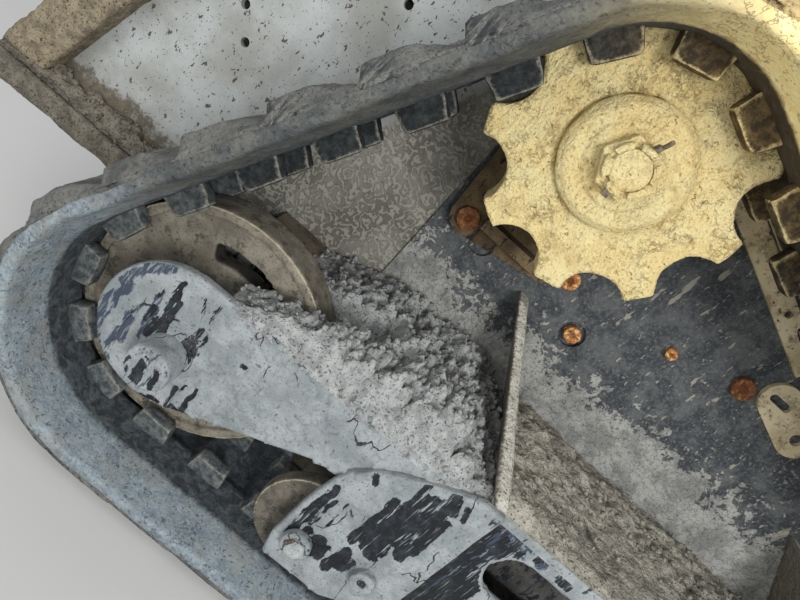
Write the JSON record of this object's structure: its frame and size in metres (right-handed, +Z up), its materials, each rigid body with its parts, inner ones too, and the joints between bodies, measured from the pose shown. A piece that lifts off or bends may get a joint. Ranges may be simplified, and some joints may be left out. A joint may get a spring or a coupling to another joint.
{
  "type": "track loader undercarriage unit",
  "caption": "Right-hand rubber-track undercarriage of a compact track loader: belt, drive sprocket, idlers, rollers and frame on its chassis side plate, caked in dried mud.",
  "frame": {"origin": "on the ground below the middle of the whole box", "axes": "+X forward, +Z up, -Y outboard, so the track's outer side faces -Y"},
  "size_m": [1.6097, 0.308, 0.6551],
  "materials": {
    "track_rubber": "dusty, scuffed, mud dried on",
    "black_paint": "black paint under dried pale mud",
    "white_paint": "white paint, speckled with mud",
    "sprocket_steel": "coated with cracked tan mud",
    "wheel_steel": "muddy, running surface worn bright",
    "fastener_steel": "rusty and muddy",
    "motor_paint": "dark, mud over paint"
  },
  "bodies": {
    "undercarriage": {"bracket_bolt_inner": "fastener_steel", "bracket_bolt_outer": "fastener_steel", "chassis_bolt_1": "fastener_steel", "chassis_bolt_2": "fastener_steel", "chassis_plug": "black_paint", "chassis_shelf": "black_paint", "chassis_side_plate": "black_paint", "cross_tube_1": "black_paint", "cross_tube_2": "black_paint", "drive_motor": "motor_paint", "drive_sprocket": "sprocket_steel", "frame_side_inner": "black_paint", "frame_side_outer": "black_paint", "frame_top_plate": "black_paint", "gusset_1": "black_paint", "gusset_2": "black_paint", "hub_nut": "fastener_steel", "motor_mount_plate": "black_paint", "mount_bolt": "fastener_steel", "rear_arm_inner": "black_paint", "rear_arm_outer": "black_paint", "rear_arm_web": "black_paint", "rear_corner_post": "black_paint", "rear_idler_axle": "fastener_steel", "rear_ledge": "black_paint", "rear_side_panel": "white_paint", "recess_bolt": "fastener_steel", "roller_axle_1": "fastener_steel", "roller_axle_2": "fastener_steel", "roller_axle_3": "fastener_steel", "roller_axle_4": "fastener_steel", "roller_bracket_inner": "black_paint", "roller_bracket_outer": "black_paint", "sprocket_hub": "sprocket_steel", "tension_anchor": "black_paint", "tension_cylinder": "black_paint", "tie_down_plate": "white_paint", "track_belt": "track_rubber", "track_roller_1": "wheel_steel", "track_roller_2": "wheel_steel", "track_roller_3": "wheel_steel", "track_roller_4": "wheel_steel", "upper_side_rail": "white_paint"},
    "rear_idler": {"rear_idler_wheel": "wheel_steel"},
    "idler_carriage": {"idler_carriage": "black_paint", "tension_rod": "fastener_steel", "front_idler_axle": "fastener_steel"},
    "front_idler": {"front_idler_wheel": "wheel_steel"}
  },
  "joints": [
    {"name": "rear_idler_spin", "type": "hinge", "parent": "undercarriage", "child": "rear_idler", "pos_m": [-0.42912, -0.039, 0.1593], "axis": [0, 1, 0], "continuous": true},
    {"name": "track_tension", "type": "slide", "parent": "undercarriage", "child": "idler_carriage", "axis": [1, 0, 0], "range_m": [-0.03, 0]},
    {"name": "front_idler_spin", "type": "hinge", "parent": "idler_carriage", "child": "front_idler", "pos_m": [0.64582, -0.039, 0.1593], "axis": [0, 1, 0], "continuous": true}
  ]
}
